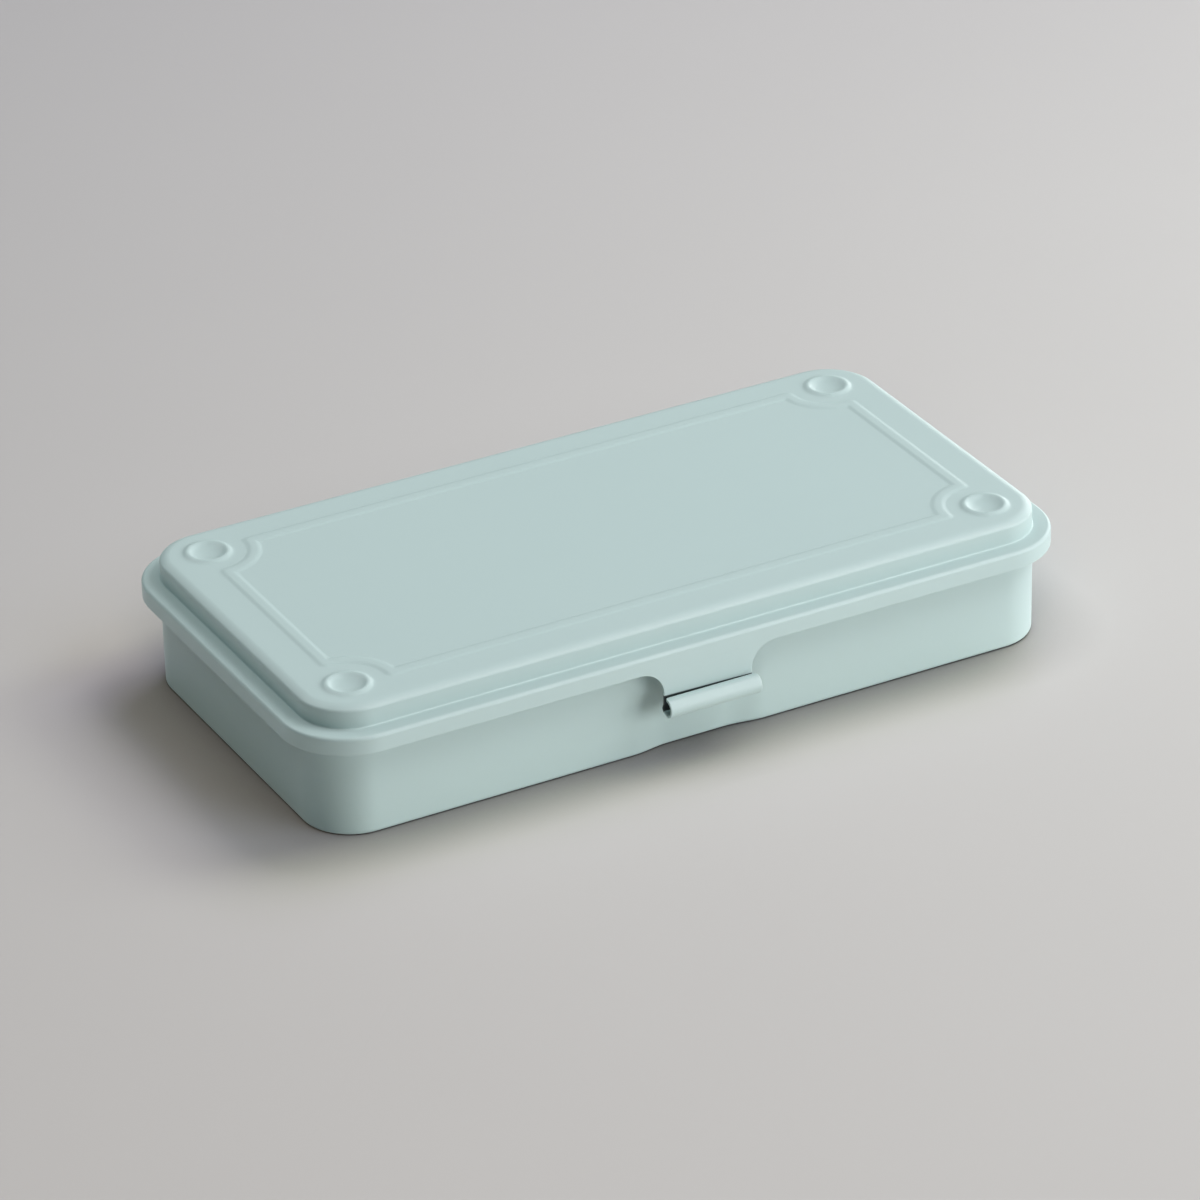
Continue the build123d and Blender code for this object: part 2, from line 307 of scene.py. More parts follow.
crease, crease_in, crease_out = new_group(
    "shade_about_latch",
    [
        ("Tab Half Width", FLOAT, TONGUE_HALF),
        ("Fillet", FLOAT, TONGUE_FILLET),
        ("Skirt Edge", FLOAT, SKIRT_BOTTOM),
        ("Crease Height", FLOAT, CREASE_Z),
    ],
    [("Behind Tab", FLOAT), ("Beside Tab", FLOAT), ("Above Roll", FLOAT)],
)
calc = partial(maths, crease)
place = add_node(crease, "ShaderNodeTexCoord").outputs
spot = add_node(crease, "ShaderNodeSeparateXYZ", Vector=place["Object"])
across, depth, up = (calc("MULTIPLY", part, 1 / MM) for part in spot.outputs)
facing = add_node(crease, "ShaderNodeSeparateXYZ", Vector=place["Normal"]).outputs["Y"]

fillet = crease_in["Fillet"]
below = calc("SUBTRACT", calc("SUBTRACT", crease_in["Skirt Edge"], SEEN_LOWER), up)
left_over = calc("SUBTRACT", fillet, calc("MINIMUM", calc("MAXIMUM", below, 0.0), fillet))
arc = calc("SQRT", calc("SUBTRACT", calc("MULTIPLY", fillet, fillet), calc("MULTIPLY", left_over, left_over)))
width = calc("SUBTRACT", calc("ADD", crease_in["Tab Half Width"], fillet), arc)
outside = calc("SUBTRACT", calc("ABSOLUTE", across), width)
behind = calc("MULTIPLY", calc("SUBTRACT", BEHIND_START, outside), BEHIND_FADE, clamp=True)
beside = calc("SUBTRACT", 1.0, calc("MULTIPLY", calc("ADD", outside, BESIDE_REACH), BESIDE_FADE), clamp=True)
at_front = calc("MULTIPLY", calc("LESS_THAN", depth, WALL_DEPTH), calc("LESS_THAN", facing, WALL_FACING))
above_foot = calc("MULTIPLY", calc("SUBTRACT", up, WALL_FOOT), FOOT_FADE, clamp=True)
on_wall = calc("MULTIPLY", at_front, above_foot)

taper = calc("ADD", CREASE_WIDTH, calc("MULTIPLY", across, CREASE_TAPER))
risen = calc("DIVIDE", calc("SUBTRACT", up, crease_in["Crease Height"]), taper)
above = calc("MULTIPLY", calc("SUBTRACT", CREASE_END, risen), CREASE_FADE, clamp=True)
on_tab = calc("GREATER_THAN", depth, TAB_DEPTH)
feed(crease, crease_out["Behind Tab"], calc("MULTIPLY", behind, on_wall))
feed(crease, crease_out["Beside Tab"], calc("MULTIPLY", beside, on_wall))
feed(crease, crease_out["Above Roll"], calc("MULTIPLY", above, on_tab))
print("group", crease.name, "has", len(crease.nodes), "nodes")

# %% [markdown]
# ## The mint paint
#
# The box is painted in one go, inside and outside, so every piece has the same satin coat. One function
# builds it, and the hinges get a slightly heavier coat, because paint gathers around knuckles and in gaps.
# Where the paint is nearly closed in within 3 mm it is darkened towards near black: painted shade in tight
# crevices. The painted shades about the latch only show on the tray while the tab covers it, so they go
# when the lid opens.

# %% Make the paints
SATIN_MAIN, SATIN_THICK = (0.490, 0.620, 0.610, 1.0), (0.475, 0.605, 0.597, 1.0)
HEAVY_MAIN, HEAVY_THICK = (0.480, 0.610, 0.600, 1.0), (0.455, 0.585, 0.575, 1.0)
PALE_EDGE = (0.560, 0.680, 0.665, 1.0)
# Painted shade: the near black that tight crevices darken towards.
CREVICE_SHADE = (0.06, 0.07, 0.07, 1.0)
# Painted shade about the latch: almost black.
LATCH_SHADE = (0.012, 0.016, 0.018, 1.0)
EDGE_BREAK_UP = 0.7
CREVICE_REACH, COVER_REACH = 3.0 * MM, 4.0 * MM
CREVICE_CLOSED, CREVICE_OPEN = 0.04, 0.26
COVER_FULL, COVER_NONE = 0.45, 0.85


def make_paint(name, main, thick, least, most, peel_height, shades=(), only_covered=False):
    """Baked satin paint, built from the shared groups, with painted shade in tight crevices. Shades are
    (mask, strength) of the latch group's painted shade.
    """
    material, tree = new_material(name)
    tones = use_group(
        tree, tone, Main_Color=main, Thick_Color=thick, Least_Roughness=least, Most_Roughness=most,
    )
    edges = use_group(tree, thin, Break_Up=EDGE_BREAK_UP)
    color = blend(tree, edges["Mask"], tones["Color"], PALE_EDGE)
    # Painted shade: the paint darkens towards near black where it is nearly closed in within 3 mm.
    crevices = openness(tree, 16, CREVICE_REACH, From_Min=CREVICE_CLOSED, From_Max=CREVICE_OPEN)
    color = blend(tree, crevices, CREVICE_SHADE, color)
    if shades:
        masks = use_group(tree, crease)
    if only_covered:
        cover = openness(
            tree, 8, COVER_REACH, From_Min=COVER_FULL, From_Max=COVER_NONE, To_Min=1.0, To_Max=0.0,
        )
    # Painted shade about the latch, mixed in towards almost black.
    for mask, strength in shades:
        amount = maths(tree, "MULTIPLY", masks[mask], strength)
        if only_covered:
            amount = maths(tree, "MULTIPLY", amount, cover)
        color = blend(tree, amount, color, LATCH_SHADE)
    skin = use_group(tree, peel)
    bump = add_node(tree, "ShaderNodeBump", Strength=1.0, Distance=peel_height, Height=skin["Height"])
    surface = add_node(
        tree, "ShaderNodeBsdfPrincipled", IOR=1.5,
        Base_Color=color, Roughness=tones["Roughness"], Normal=bump.outputs["Normal"],
    )
    add_node(tree, "ShaderNodeOutputMaterial", Surface=surface.outputs["BSDF"])
    return material


satin = SATIN_MAIN, SATIN_THICK, 0.40, 0.48, 0.006 * MM
mint = make_paint("mint_paint_satin", *satin)
# The tray's and the tongue's paints carry the painted shade about the latch.
covered_shades = [("Behind Tab", 0.95), ("Beside Tab", 0.45)]
mint_tray = make_paint("mint_paint_tray", *satin, covered_shades, only_covered=True)
mint_tongue = make_paint("mint_paint_tongue", *satin, [("Above Roll", 0.95)])
mint_heavy = make_paint("mint_paint_heavy_coat", HEAVY_MAIN, HEAVY_THICK, 0.36, 0.46, 0.010 * MM)
print("paints:", [paint.name for paint in (mint, mint_tray, mint_tongue, mint_heavy)])

# %% [markdown]
# ## Stations round the box
#
# A bevelled block would give the box's outline, but its points would not lie where the detail is. So a
# surface that runs round the box is woven from rows and columns. The columns stand at stations: even steps
# round each corner, and places along each side that are close together where it has detail, such as the
# recess and the tongue at the front, and far apart where it is plain.

# %% Lay out the stations
TURN_STEPS = 18
PLAIN_STEP, FLARE_STEP = 9.0, 0.7
NEAR_REPEAT = 0.04
JUST_INSIDE = 0.01
LUG_CENTRE, LUG_HALF, LUG_FILLET = 52.0, 14.0, 3.0
flare = TONGUE_HALF + TONGUE_FILLET


def spaced(low, high, step):
    """Evenly spaced places from low to high, about a step apart, both ends included."""
    count = max(1, round((high - low) / step))
    return [low + (high - low) * i / count for i in range(count + 1)]


def merged(*groups):
    """All places of the groups in order, without near repeats."""
    places = sorted(p for group in groups for p in group)
    kept_places = [places[0]]
    for p in places[1:]:
        if p - kept_places[-1] > NEAR_REPEAT:
            kept_places.append(p)
    return kept_places


def side_line(half, *details):
    """Places along one side: wide apart, but closer towards both corners and where the details are."""
    ends = [half - p for p in range(5)]
    return merged(spaced(-half, half, PLAIN_STEP), [-p for p in ends], ends, *details)


def make_stations():
    """For each station: the point on the corner-centre rectangle, the way outward, and the side's name."""
    lug_ends = [LUG_CENTRE - LUG_HALF - LUG_FILLET, LUG_CENTRE + LUG_HALF + LUG_FILLET]
    front = side_line(corner_x, spaced(-flare, flare, FLARE_STEP))
    back = side_line(corner_x, lug_ends, [-p for p in lug_ends])
    end = side_line(corner_y)
    stations = []
    for side, way, line, centre, start in (
        ("front", (0, -1), [(x, -corner_y) for x in front], (corner_x, -corner_y), -90),
        ("right", (1, 0), [(corner_x, y) for y in end], (corner_x, corner_y), 0),
        ("back", (0, 1), [(x, corner_y) for x in back[::-1]], (-corner_x, corner_y), 90),
        ("left", (-1, 0), [(-corner_x, y) for y in end[::-1]], (-corner_x, -corner_y), 180),
    ):
        turns = [math.radians(start + 90 * step / TURN_STEPS) for step in range(1, TURN_STEPS)]
        stations += [(*spot, *way, side) for spot in line]
        stations += [(*centre, math.cos(t), math.sin(t), "corner") for t in turns]
    x, y, out_x, out_y, names = zip(*stations)
    return np.column_stack((x, y)), np.column_stack((out_x, out_y)), np.array(names)


roots, outward, sides = make_stations()
print("stations round the box:", len(roots))

# %% [markdown]
# ## Drawing a rounded profile
#
# Sheet steel can't bend to a sharp corner, so every profile is a path of straight runs with a radius at
# each corner. A Bevel modifier could round the corners later, but each bend has a radius of its own. This
# helper returns points along the finished path, and none inside a straight run, where none are needed.

# %% Helper: rounded path
def unit(vector):
    """The same direction with length 1."""
    return vector / np.linalg.norm(vector)


def rounded_path(corners, radii, turn=7.0):
    """Points along a path whose inner corners are rounded. Arcs get a point about every turn degrees."""
    corners = np.array(corners, float)
    points = [corners[0]]
    for before, here, after, radius in zip(corners, corners[1:], corners[2:], radii):
        to_before, to_after = unit(before - here), unit(after - here)
        half_angle = 0.5 * math.acos(float(np.clip(to_before @ to_after, -1, 1)))
        centre = here + unit(to_before + to_after) * radius / math.sin(half_angle)
        first = here + to_before * radius / math.tan(half_angle) - centre
        last = here + to_after * radius / math.tan(half_angle) - centre
        sweep = math.pi - 2 * half_angle
        if first[0] * last[1] - first[1] * last[0] < 0:
            sweep = -sweep
        steps = max(2, math.ceil(abs(math.degrees(sweep)) / turn))
        for k in range(steps + 1):
            angle = sweep * k / steps
            c, s = math.cos(angle), math.sin(angle)
            points.append(centre + np.array((c * first[0] - s * first[1], s * first[0] + c * first[1])))
    return np.array([*points, corners[-1]])


sample = rounded_path([(0, 0), (0, 5), (5, 5)], [2.0])
print("a test corner has", len(sample), "points and ends at", sample[-1])

# %% [markdown]
# ## Weaving rows into a mesh
#
# A Weave collects points and faces, then turns them into one Blender mesh. Plain smooth shading would make
# flat faces look swollen near a bend. Here the shading directions are averaged by face area, so a broad
# flat face stays flat right up to the small radius beside it, and highlights stay narrow. A Weighted Normal
# modifier works much the same way, but stored directions need no modifier.

# %% Helper: the Weave
SAME_POINT, SLIVER = 0.0005 * MM, 0.00005 * MM
NO_AREA = 1e-15


class Weave:
    """Points in millimetres and faces that are collected for one mesh."""

    def __init__(self):
        self.points = []
        self.faces = []
        self.edge_values = []

    def add_points(self, points, edge=0.0):
        """Add points and return their numbers."""
        start = len(self.points)
        self.points.extend(tuple(p) for p in points)
        self.edge_values.extend(np.zeros(len(points)) + edge)
        return list(range(start, start + len(points)))

    def join_rows(self, rows):
        """Join each closed row of point numbers to the next one with four-sided faces."""
        for first, second in zip(rows, rows[1:]):
            for i in range(len(first)):
                j = (i + 1) % len(first)
                self.faces.append((first[i], first[j], second[j], second[i]))

    def to_object(self, name, material):
        """Make the Blender object, with area-weighted shading and the cut_edge values."""
        mesh = bpy.data.meshes.new(name)
        mesh.from_pydata([(x * MM, y * MM, z * MM) for x, y, z in self.points], [], self.faces)
        attribute = mesh.attributes.new("cut_edge", "FLOAT", "POINT")
        attribute.data.foreach_set("value", self.edge_values)
        merge_close_points(mesh)
        shade_by_area(mesh)
        mesh.materials.append(material)
        piece = bpy.data.objects.new(name, mesh)
        bpy.context.scene.collection.objects.link(piece)
        return piece


def merge_close_points(mesh):
    """Join points that lie together, and drop faces that have no area."""
    work = bmesh.new()
    work.from_mesh(mesh)
    bmesh.ops.remove_doubles(work, verts=work.verts, dist=SAME_POINT)
    bmesh.ops.dissolve_degenerate(work, edges=work.edges, dist=SLIVER)
    bmesh.ops.recalc_face_normals(work, faces=work.faces)
    work.to_mesh(mesh)
    work.free()


def shade_by_area(mesh):
    """Give each point the average direction of its faces, weighted by their areas."""
    mesh.polygons.foreach_set("use_smooth", [True] * len(mesh.polygons))
    normals = np.zeros((len(mesh.vertices), 3))
    for polygon in mesh.polygons:
        normals[list(polygon.vertices)] += np.array(polygon.normal) * polygon.area
    normals[np.linalg.norm(normals, axis=1) < NO_AREA] = (0, 0, 1)
    normals /= np.maximum(np.linalg.norm(normals, axis=1), NO_AREA)[:, None]
    mesh.normals_split_custom_set_from_vertices(normals.tolist())


print("weave helper ready")

# %% [markdown]
# ## Carrying a profile round, and filling a panel
#
# A row of a drawn shape is the line of stations at one inset and one height. A panel, such as the top of
# the lid, fills the innermost row. Its points lie on lines and rings that follow the pressed detail, a
# height function lifts them, and a Delaunay triangulation joins them with the row's own points, so there is
# no seam.

# %% Helpers: rows and panels
PANEL_MARGIN = 0.3
FILL_INSIDE, SAME_PLACE = 1, 1e-7


def ring_points(inset, height):
    """Points of one row round the box. Inset and height are single values or one value for each station."""
    even = np.zeros(len(roots))
    return np.column_stack((roots + outward * (SKIRT_RADIUS - inset + even)[:, None], height + even))


def inset_of(x, y):
    """How far a point lies in from the skirt's outer face."""
    qx, qy = np.abs(x) - corner_x, np.abs(y) - corner_y
    outside = np.hypot(np.maximum(qx, 0), np.maximum(qy, 0))
    return SKIRT_RADIUS - outside - np.minimum(np.maximum(qx, qy), 0)


def cross_grid(x_lines, y_lines):
    """The places where two sets of lines cross."""
    grid_x, grid_y = np.meshgrid(x_lines, y_lines)
    return np.column_stack((grid_x.ravel(), grid_y.ravel()))


def rings_about(x, y, radii, step, turns=(0, 360)):
    """Places on rings about a centre, a step apart along each ring."""
    places = []
    for radius in radii:
        count = max(6, math.ceil(radius * math.radians(turns[1] - turns[0]) / step))
        angles = np.radians(np.linspace(*turns, count, endpoint=False))
        places.append(np.column_stack((x + radius * np.cos(angles), y + radius * np.sin(angles))))
    return np.vstack(places)


def gathered(groups):
    """Join groups of (places, clearance), without the places closer than that to an earlier group's."""
    taken = np.empty((0, 2))
    for places, clearance in groups:
        if len(taken):
            tree = KDTree(len(taken))
            for i, (x, y) in enumerate(taken):
                tree.insert((x, y, 0), i)
            tree.balance()
            places = places[[tree.find((x, y, 0))[2] > clearance for x, y in places]]
        taken = np.vstack((taken, places))
    return taken


def fill_panel(weave, row, inset, places, height):
    """Fill a closed row with a panel whose points stand at height(x, y)."""
    border = [weave.points[i] for i in row]
    inside = places[inset_of(places[:, 0], places[:, 1]) > inset + PANEL_MARGIN]
    flat = [Vector(p[:2]) for p in (*border, *inside)]
    count = len(border)
    edges = [(i, (i + 1) % count) for i in range(count)]
    made, _, triangles, origins, _, _ = delaunay_2d_cdt(flat, edges, [], FILL_INSIDE, SAME_PLACE, True)
    xs, ys = np.array(made).T
    zs = height(xs, ys)
    numbers = []
    for k, sources in enumerate(origins):
        on_border = [s for s in sources if s < count]
        numbers.append(row[on_border[0]] if on_border else weave.add_points([(xs[k], ys[k], zs[k])])[0])
    weave.faces.extend(tuple(numbers[i] for i in triangle) for triangle in triangles)
    return len(triangles)


print("row and panel helpers ready")

# %% [markdown]
# ## The lid's top
#
# Near the rim the top slopes down softly. A low rounded bead runs round the panel and stiffens the thin
# sheet, with a notch round each corner. In each notch stands a boss: a raised ring with a shallow bowl
# inside. A grey picture could lift a fine grid, but it would blur such small forms. All of it can be
# written as one height for each place, which is what a press tool does too.

# %% Height of the lid's top
SHOULDER_WIDTH, SHOULDER_DROP = 1.5, 0.95
BEND_RADIUS = 4.0
BEAD_X, BEAD_Y = 86.3, 37.65
BEAD_FOOT, BEAD_CREST, BEAD_HEIGHT = 2.1, 0.65, 0.25
BOSS_X, BOSS_Y = 86.25, 37.4
BOSS_RING = 4.9
NOTCH_RADIUS = 11.3
FAR = 99.0
BOSS_PROFILE = np.array([
    (0.0, -0.550), (1.0, -0.530), (2.0, -0.450), (2.8, -0.305), (3.4, -0.120), (3.9, 0.115), (4.3, 0.340),
    (4.55, 0.450), (4.75, 0.495), (4.9, 0.500), (5.05, 0.490), (5.3, 0.430), (5.6, 0.300), (5.9, 0.155),
    (6.2, 0.055), (6.5, 0.012), (6.9, 0.0),
])


def shoulder_height(inset):
    """The sheet's height near the rim: a soft slope that bends into the flat top."""
    slope = SHOULDER_DROP / SHOULDER_WIDTH
    turn = math.atan(slope)
    bend_end = LID_WALL_INSET + SHOULDER_WIDTH + BEND_RADIUS * math.tan(turn / 2)
    bend_start = bend_end - BEND_RADIUS * math.sin(turn)
    short = np.clip(bend_end - inset, 0, bend_end - bend_start)
    on_bend = TOP - BEND_RADIUS + np.sqrt(BEND_RADIUS**2 - short**2)
    return on_bend - slope * np.maximum(bend_start - inset, 0)


def distance_to_bead(x, y):
    """Distance to the bead's middle line: straight sides, and an arc round each boss."""
    x, y = np.abs(x), np.abs(y)
    tip_x = BOSS_X - math.sqrt(NOTCH_RADIUS**2 - (BEAD_Y - BOSS_Y) ** 2)
    tip_y = BOSS_Y - math.sqrt(NOTCH_RADIUS**2 - (BEAD_X - BOSS_X) ** 2)
    long_side = np.hypot(np.maximum(x - tip_x, 0), y - BEAD_Y)
    short_side = np.hypot(x - BEAD_X, np.maximum(y - tip_y, 0))
    on_arc = (x <= BEAD_X) & (y <= BEAD_Y)
    arc = np.abs(np.hypot(x - BOSS_X, y - BOSS_Y) - NOTCH_RADIUS)
    return np.minimum(np.minimum(long_side, short_side), np.where(on_arc, arc, FAR))


def relief_height(x, y):
    """Bead and bosses, as a height above the plain top."""
    rise = np.clip((BEAD_FOOT - distance_to_bead(x, y)) / (BEAD_FOOT - BEAD_CREST), 0, 1)
    bead = BEAD_HEIGHT * rise * rise * (3 - 2 * rise)
    from_boss = np.hypot(np.abs(x) - BOSS_X, np.abs(y) - BOSS_Y)
    return bead + smooth_lookup(from_boss, BOSS_PROFILE)


def smooth_lookup(values, table):
    """Read a height from a table of (distance, height), with smooth joins between its points."""
    at, heights = table[:, 0], table[:, 1]
    slopes = np.gradient(heights, at)
    slopes[0] = slopes[-1] = 0.0
    v = np.clip(values, at[0], at[-1])
    k = np.clip(np.searchsorted(at, v, side="right") - 1, 0, len(at) - 2)
    width = at[k + 1] - at[k]
    t = (v - at[k]) / width
    a, b = heights[k], heights[k + 1]
    return (
        a * (1 + 2 * t) * (1 - t) ** 2 + b * t**2 * (3 - 2 * t)
        + width * (slopes[k] * t * (1 - t) ** 2 - slopes[k + 1] * t**2 * (1 - t))
    )


def top_height(x, y):
    """Upper face of the lid's top."""
    return shoulder_height(inset_of(x, y)) + relief_height(x, y)


for name, x, y in (("middle", 0, 0), ("boss ring", BOSS_X + BOSS_RING, BOSS_Y), ("bead", 0, BEAD_Y)):
    print("top at the", name, "stands at", round(float(top_height(x, y)), 2))

# %% [markdown]
# ## Places on the lid's top
#
# A pressed line looks crisp only when the mesh runs along it, and an even grid that is fine enough
# everywhere would be heavy. So the panel gets rings round each boss, rows along the bead and round its
# notches, a fine patch where a notch meets a straight run, and a wide grid elsewhere.

# %% Choose the places on the top
half_bead = [0.3, 0.65, 0.9, 1.15, 1.375, 1.6, 1.85, 2.1]
across_bead = [-a for a in half_bead[::-1]] + [0.0] + half_bead
boss_rings = [
    0.8, 1.6, 2.3, 2.9, 3.4, 3.8, 4.1, 4.35, 4.55, 4.7, 4.85, 5.0, 5.15, 5.35, 5.6, 5.85, 6.1, 6.4, 6.9,
]
bead_run_x, bead_run_y = spaced(-72, 72, 2.4), spaced(-23.5, 23.5, 2.4)
join_patch = np.array(spaced(-3.0, 3.0, 0.33))
BOSS_STEP, NOTCH_STEP, NOTCH_OVERLAP = 0.6, 0.7, 12
RIM_BAND = 13.0

on_bosses, on_notches, on_joins = [], [], []
for sx, sy, start in ((1, 1, 180), (1, -1, 90), (-1, 1, 270), (-1, -1, 0)):
    x, y = sx * BOSS_X, sy * BOSS_Y
    on_bosses += [np.array([(x, y)]), rings_about(x, y, boss_rings, BOSS_STEP)]
    arc = start - NOTCH_OVERLAP, start + 90 + NOTCH_OVERLAP
    on_notches.append(rings_about(x, y, [NOTCH_RADIUS + a for a in across_bead], NOTCH_STEP, arc))
    for join_x, join_y in ((BEAD_X, BOSS_Y - NOTCH_RADIUS), (BOSS_X - NOTCH_RADIUS, BEAD_Y)):
        on_joins.append(cross_grid(sx * join_x + join_patch, sy * join_y + join_patch))
on_bead = [
    cross_grid(bead_run_x, [s * (BEAD_Y + a) for s in (-1, 1) for a in across_bead]),
    cross_grid([s * (BEAD_X + a) for s in (-1, 1) for a in across_bead], bead_run_y),
]
near_rim = cross_grid(spaced(-96, 96, 1.6), spaced(-47, 47, 1.6))
near_rim = near_rim[inset_of(near_rim[:, 0], near_rim[:, 1]) < RIM_BAND]
wide_grid = cross_grid(spaced(-90, 90, 6.0), spaced(-42, 42, 6.0))
panel_places = gathered([
    (np.vstack(on_bosses), 0.0), (np.vstack(on_joins), 0.3), (np.vstack(on_notches), 0.22),
    (np.vstack(on_bead), 0.3), (near_rim, 0.9), (wide_grid, 2.0),
])
print("places on the lid's top:", len(panel_places))

# %% [markdown]
# ## The lid's side profile
#
# From the panel outward, the sheet turns down over a tight edge, runs down a short wall, turns out through
# a cove into a narrow flange, and turns down again into the skirt. A Solidify modifier could thicken a
# single face. Two paths, one sheet thickness apart, give every bend its true inner and outer radius. The
# cove at the foot of the wall is tight, so it catches the light as one fine bright line.

# %% Rows of the lid
PANEL_START, PATH_START = 8.4, 12.0
EDGE_BEND, COVE_BEND, SKIRT_BEND = 0.8, 0.4, 0.9


def lid_profile(offset):
    """Path of the outer face from the panel to the skirt's edge, or of a face offset into the sheet."""
    wall = LID_WALL_INSET + offset
    flange = FLANGE_TOP - offset
    slope = math.atan2(SHOULDER_DROP, SHOULDER_WIDTH)
    run = SHOULDER_WIDTH - offset * (1 - math.tan(slope / 2))
    corners = [
        (PATH_START, TOP - offset), (wall + run, TOP - offset), (wall, TOP - offset - run * math.tan(slope)),
        (wall, flange), (offset, flange), (offset, SKIRT_BOTTOM + EDGE_ROUND),
    ]
    radii = [BEND_RADIUS - offset, EDGE_BEND - offset, COVE_BEND + offset, SKIRT_BEND - offset]
    path = rounded_path(corners, radii)
    path = path[path[:, 0] < PANEL_START]
    return np.vstack(((PANEL_START, shoulder_height(PANEL_START) - offset), path))


outer_path = lid_profile(0.0)
inner_path = lid_profile(SHEET)[::-1]
print("lid profile has", len(outer_path), "outer and", len(inner_path), "inner rows")

# %% [markdown]
# ## Weaving the lid
#
# The lid's skirt ends in a sheared edge with a tiny radius. Where the tongue and the two rear lugs go on
# downward, there is no edge, so the radius shrinks to nothing at those stations and the next piece meets it
# flush.

# %% Weave the lid's shell
EDGE_STEPS = 4
NUDGE = 0.01  # keeps two rows apart where the edge's radius is nothing


def free_edge_mask():
    """1 at stations where the skirt ends in a free edge, 0 where a tongue or lug goes on below it."""
    x = np.abs(roots[:, 0])
    on_tongue = (sides == "front") & (x < flare - JUST_INSIDE)
    on_lug = (sides == "back") & (np.abs(x - LUG_CENTRE) < LUG_HALF + LUG_FILLET - JUST_INSIDE)
    return np.where(on_tongue | on_lug, 0.0, 1.0)


def edge_rows(free):
    """Rows round the sheared lower edge of the skirt, from its outer face to its inner face."""
    turns = [math.radians(90 * k / EDGE_STEPS) for k in range(EDGE_STEPS + 1)]
    outer = [(EDGE_ROUND * (1 - math.cos(t)), EDGE_ROUND * math.sin(t), 0.0) for t in turns]
    inner = [(SHEET - EDGE_ROUND * (1 - math.sin(t)), EDGE_ROUND * math.cos(t), SHEET) for t in turns]
    edge_top = SKIRT_BOTTOM + EDGE_ROUND
    return [
        (np.where(free > 0, inset, square), np.where(free > 0, edge_top - drop, SKIRT_BOTTOM))
        for inset, drop, square in outer + inner
    ]


lid = Weave()
free = free_edge_mask()
(first_inset, first_height), *edge = edge_rows(free)
numbers = [lid.add_points(ring_points(*row)) for row in outer_path[:-1]]
numbers.append(lid.add_points(ring_points(first_inset, first_height + np.where(free > 0, 0.0, NUDGE))))
numbers += [lid.add_points(ring_points(*row), free) for row in edge[:-1]]
numbers += [lid.add_points(ring_points(*row)) for row in inner_path]
lid.join_rows(numbers)

outside_count = fill_panel(lid, numbers[0], PANEL_START, panel_places, top_height)
inside_count = fill_panel(lid, numbers[-1], PANEL_START, panel_places, lambda x, y: top_height(x, y) - SHEET)
print("lid panel has", outside_count, "triangles outside and", inside_count, "inside")

# %% [markdown]
# ## A strip of sheet
#
# Lugs and tongue are both strips: flat sheet of some width that follows a path, straight or curled. A curve
# object with a bevel would grow thicker wherever it grows wider. So the helper places one closed section at
# each point of the path, with its own width and always the same thickness. The section has rounded edges,
# and the far end is rounded too, because paint never leaves a sharp corner.

# %% Helper: sheet strip
EDGE_TURNS = 30, 60, 90
BESIDE_EDGE = 0.4
LEAST_ROUND = 1e-3
AHEAD = 0.01  # a second row close to the start keeps the sheet flat there


def strip_section(half, thickness, edge_round):
    """Closed section of a strip as (across, depth) pairs, with a value that is 1 on the cut edges."""
    inner = half - edge_round
    across = [-inner, -inner + BESIDE_EDGE, 0.0, inner - BESIDE_EDGE, inner]
    turns = [(edge_round * math.sin(t), edge_round * math.cos(t)) for t in np.radians((0, *EDGE_TURNS))]
    section = [(a, 0.0, 0.0) for a in across]
    section += [(inner + s, edge_round - c, 1.0) for s, c in turns[1:]]
    section += [(inner + c, thickness - edge_round + s, 1.0) for s, c in turns]
    section += [(a, thickness, 0.0) for a in across[-2::-1]]
    section += [(-inner - s, thickness - edge_round + c, 1.0) for s, c in turns[1:]]
    section += [(-inner - c, edge_round - s, 1.0) for s, c in turns[:-1]]
    return section


def add_strip(weave, middle_x, path, depth_ways, halves, press=None):
    """Weave a strip. The path is its face at depth 0, in (y, z), and depth_ways point through the sheet."""
    rows = []
    steps = list(zip(path, depth_ways, halves))

    def put(point, way, half, squeeze=0.0, ahead=(0.0, 0.0), cut=0.0):
        edge_round = min(EDGE_ROUND, SHEET / 2 - squeeze - LEAST_ROUND)
        points, marks = [], []
        for across, depth, mark in strip_section(half - squeeze, SHEET - 2 * squeeze, edge_round):
            inward = depth + squeeze
            lift = press(across, point) if press else 0.0
            y, z = point[0] + way[0] * inward + ahead[0] + lift, point[1] + way[1] * inward + ahead[1]
            points.append((middle_x + across, y, z))
            marks.append(max(mark, cut))
        rows.append(weave.add_points(points, marks))

    a_little_on = np.array(steps[0][0]) + AHEAD * np.subtract(steps[1][0], steps[0][0])
    steps.insert(1, (tuple(a_little_on), *steps[0][1:]))
    for step in steps[:-1]:
        put(*step)
    run = unit(np.subtract(steps[-1][0], steps[-2][0]))
    for turn in np.radians((0, *EDGE_TURNS)):
        put(*steps[-1], EDGE_ROUND * (1 - math.cos(turn)), run * EDGE_ROUND * (math.sin(turn) - 1), 1.0)
    weave.join_rows(rows)
    weave.faces += [tuple(reversed(rows[0])), tuple(rows[-1])]


def flared_halves(half, fillet, heights, top):
    """Half width of a tab at each height: it widens into the edge above it through a round fillet."""
    below = np.clip(top - np.asarray(heights), 0, fillet)
    return half + fillet - np.sqrt(fillet**2 - (fillet - below) ** 2)


print("strip helper ready")

# %% [markdown]
# ## The hinge lugs on the lid
#
# At the back, the skirt runs down in two lugs to the hinge axis, and each lug carries a hinge leaf on its
# inner face. They belong to the lid's sheet, so they are woven into the same mesh.

# %% Weave the lugs and finish the lid
AXIS_Z = 18.5
LUG_STEPS, LUG_RUN = 14, 3.0


